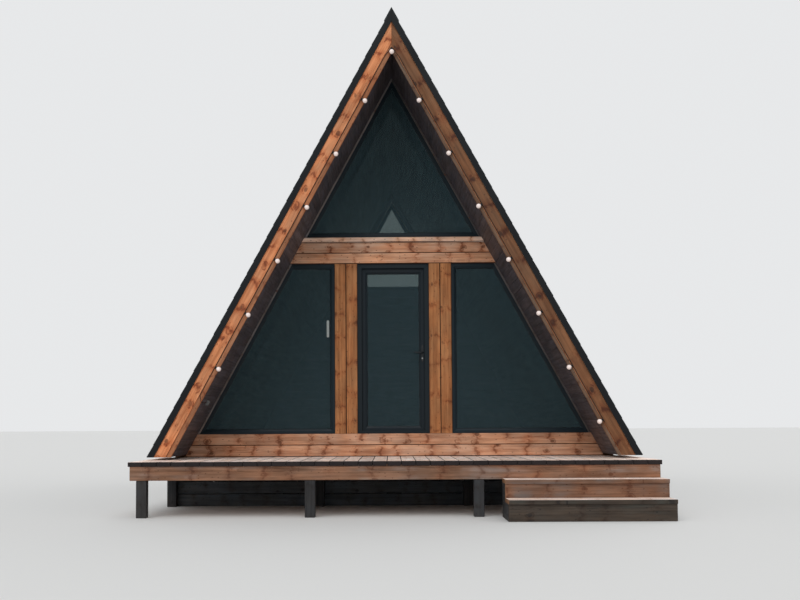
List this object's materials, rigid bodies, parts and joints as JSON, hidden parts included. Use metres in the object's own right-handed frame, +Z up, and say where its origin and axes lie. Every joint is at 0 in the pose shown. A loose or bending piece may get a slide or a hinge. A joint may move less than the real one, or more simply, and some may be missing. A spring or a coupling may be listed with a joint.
{
  "type": "a-frame cabin",
  "caption": "Timber A-frame cabin on piers with a glazed gable, an inward-opening glass door, a covered front deck, side steps and string lights.",
  "frame": {"origin": "on the lowest ground, under the middle of the whole footprint, deck and steps included", "axes": "+Z up, the glazed front faces -Y, +X is to the right for someone who faces that front"},
  "size_m": [5.702, 9.282, 5.8027],
  "materials": {
    "stained_timber": "satin orange-brown stain",
    "deck_timber": "weathered, pale",
    "dark_timber": "dark stain",
    "raw_timber": "planed, untreated",
    "frame_paint": "matt anthracite",
    "pane": "clear, dark interior behind",
    "roofing": "bitumen shingles with dark edge trim",
    "steel": "brushed",
    "black_rubber": "matt",
    "bulb": "frosted, warm white",
    "white_plastic": "gloss"
  },
  "bodies": {
    "cabin": {"piers": "dark_timber", "floor_bearers": "raw_timber", "skirt_boards": "dark_timber", "cabin_floor": "raw_timber", "deck_joists": "raw_timber", "deck_rim_front": "stained_timber", "deck_rim_sides": "stained_timber", "deck_floor": "deck_timber", "step_treads": "deck_timber", "step_risers": "stained_timber", "step_sides": "dark_timber", "sill_beam_lower": "stained_timber", "sill_beam_upper": "stained_timber", "door_posts": "stained_timber", "transom_beam_lower": "stained_timber", "transom_beam_upper": "stained_timber", "transom_ledge": "stained_timber", "upper_window_frame": "frame_paint", "upper_window_glass": "pane", "left_window_frame": "frame_paint", "left_window_glass": "pane", "right_window_frame": "frame_paint", "right_window_glass": "pane", "door_frame": "frame_paint", "door_hinges": "steel", "cover_strips": "dark_timber", "lining_left": "dark_timber", "lining_right": "dark_timber", "rafters_left": "raw_timber", "rafters_right": "raw_timber", "roof_covering_left": "roofing", "roof_covering_right": "roofing", "ridge_cap": "roofing", "barge_left": "stained_timber", "barge_right": "stained_timber", "rear_wall": "stained_timber", "rear_window_frame": "frame_paint", "rear_window_glass": "pane", "light_cable": "black_rubber", "light_sockets": "black_rubber", "light_bulbs": "bulb", "window_thermometer": "white_plastic"},
    "door": {"door_leaf": "frame_paint", "door_glass": "pane", "door_handle": "frame_paint"}
  },
  "joints": [
    {"name": "door_hinge", "type": "hinge", "parent": "cabin", "child": "door", "pos_m": [-0.4, -2.193, 1.9215], "axis": [0, 0, 1], "range_deg": [0, 90]}
  ]
}
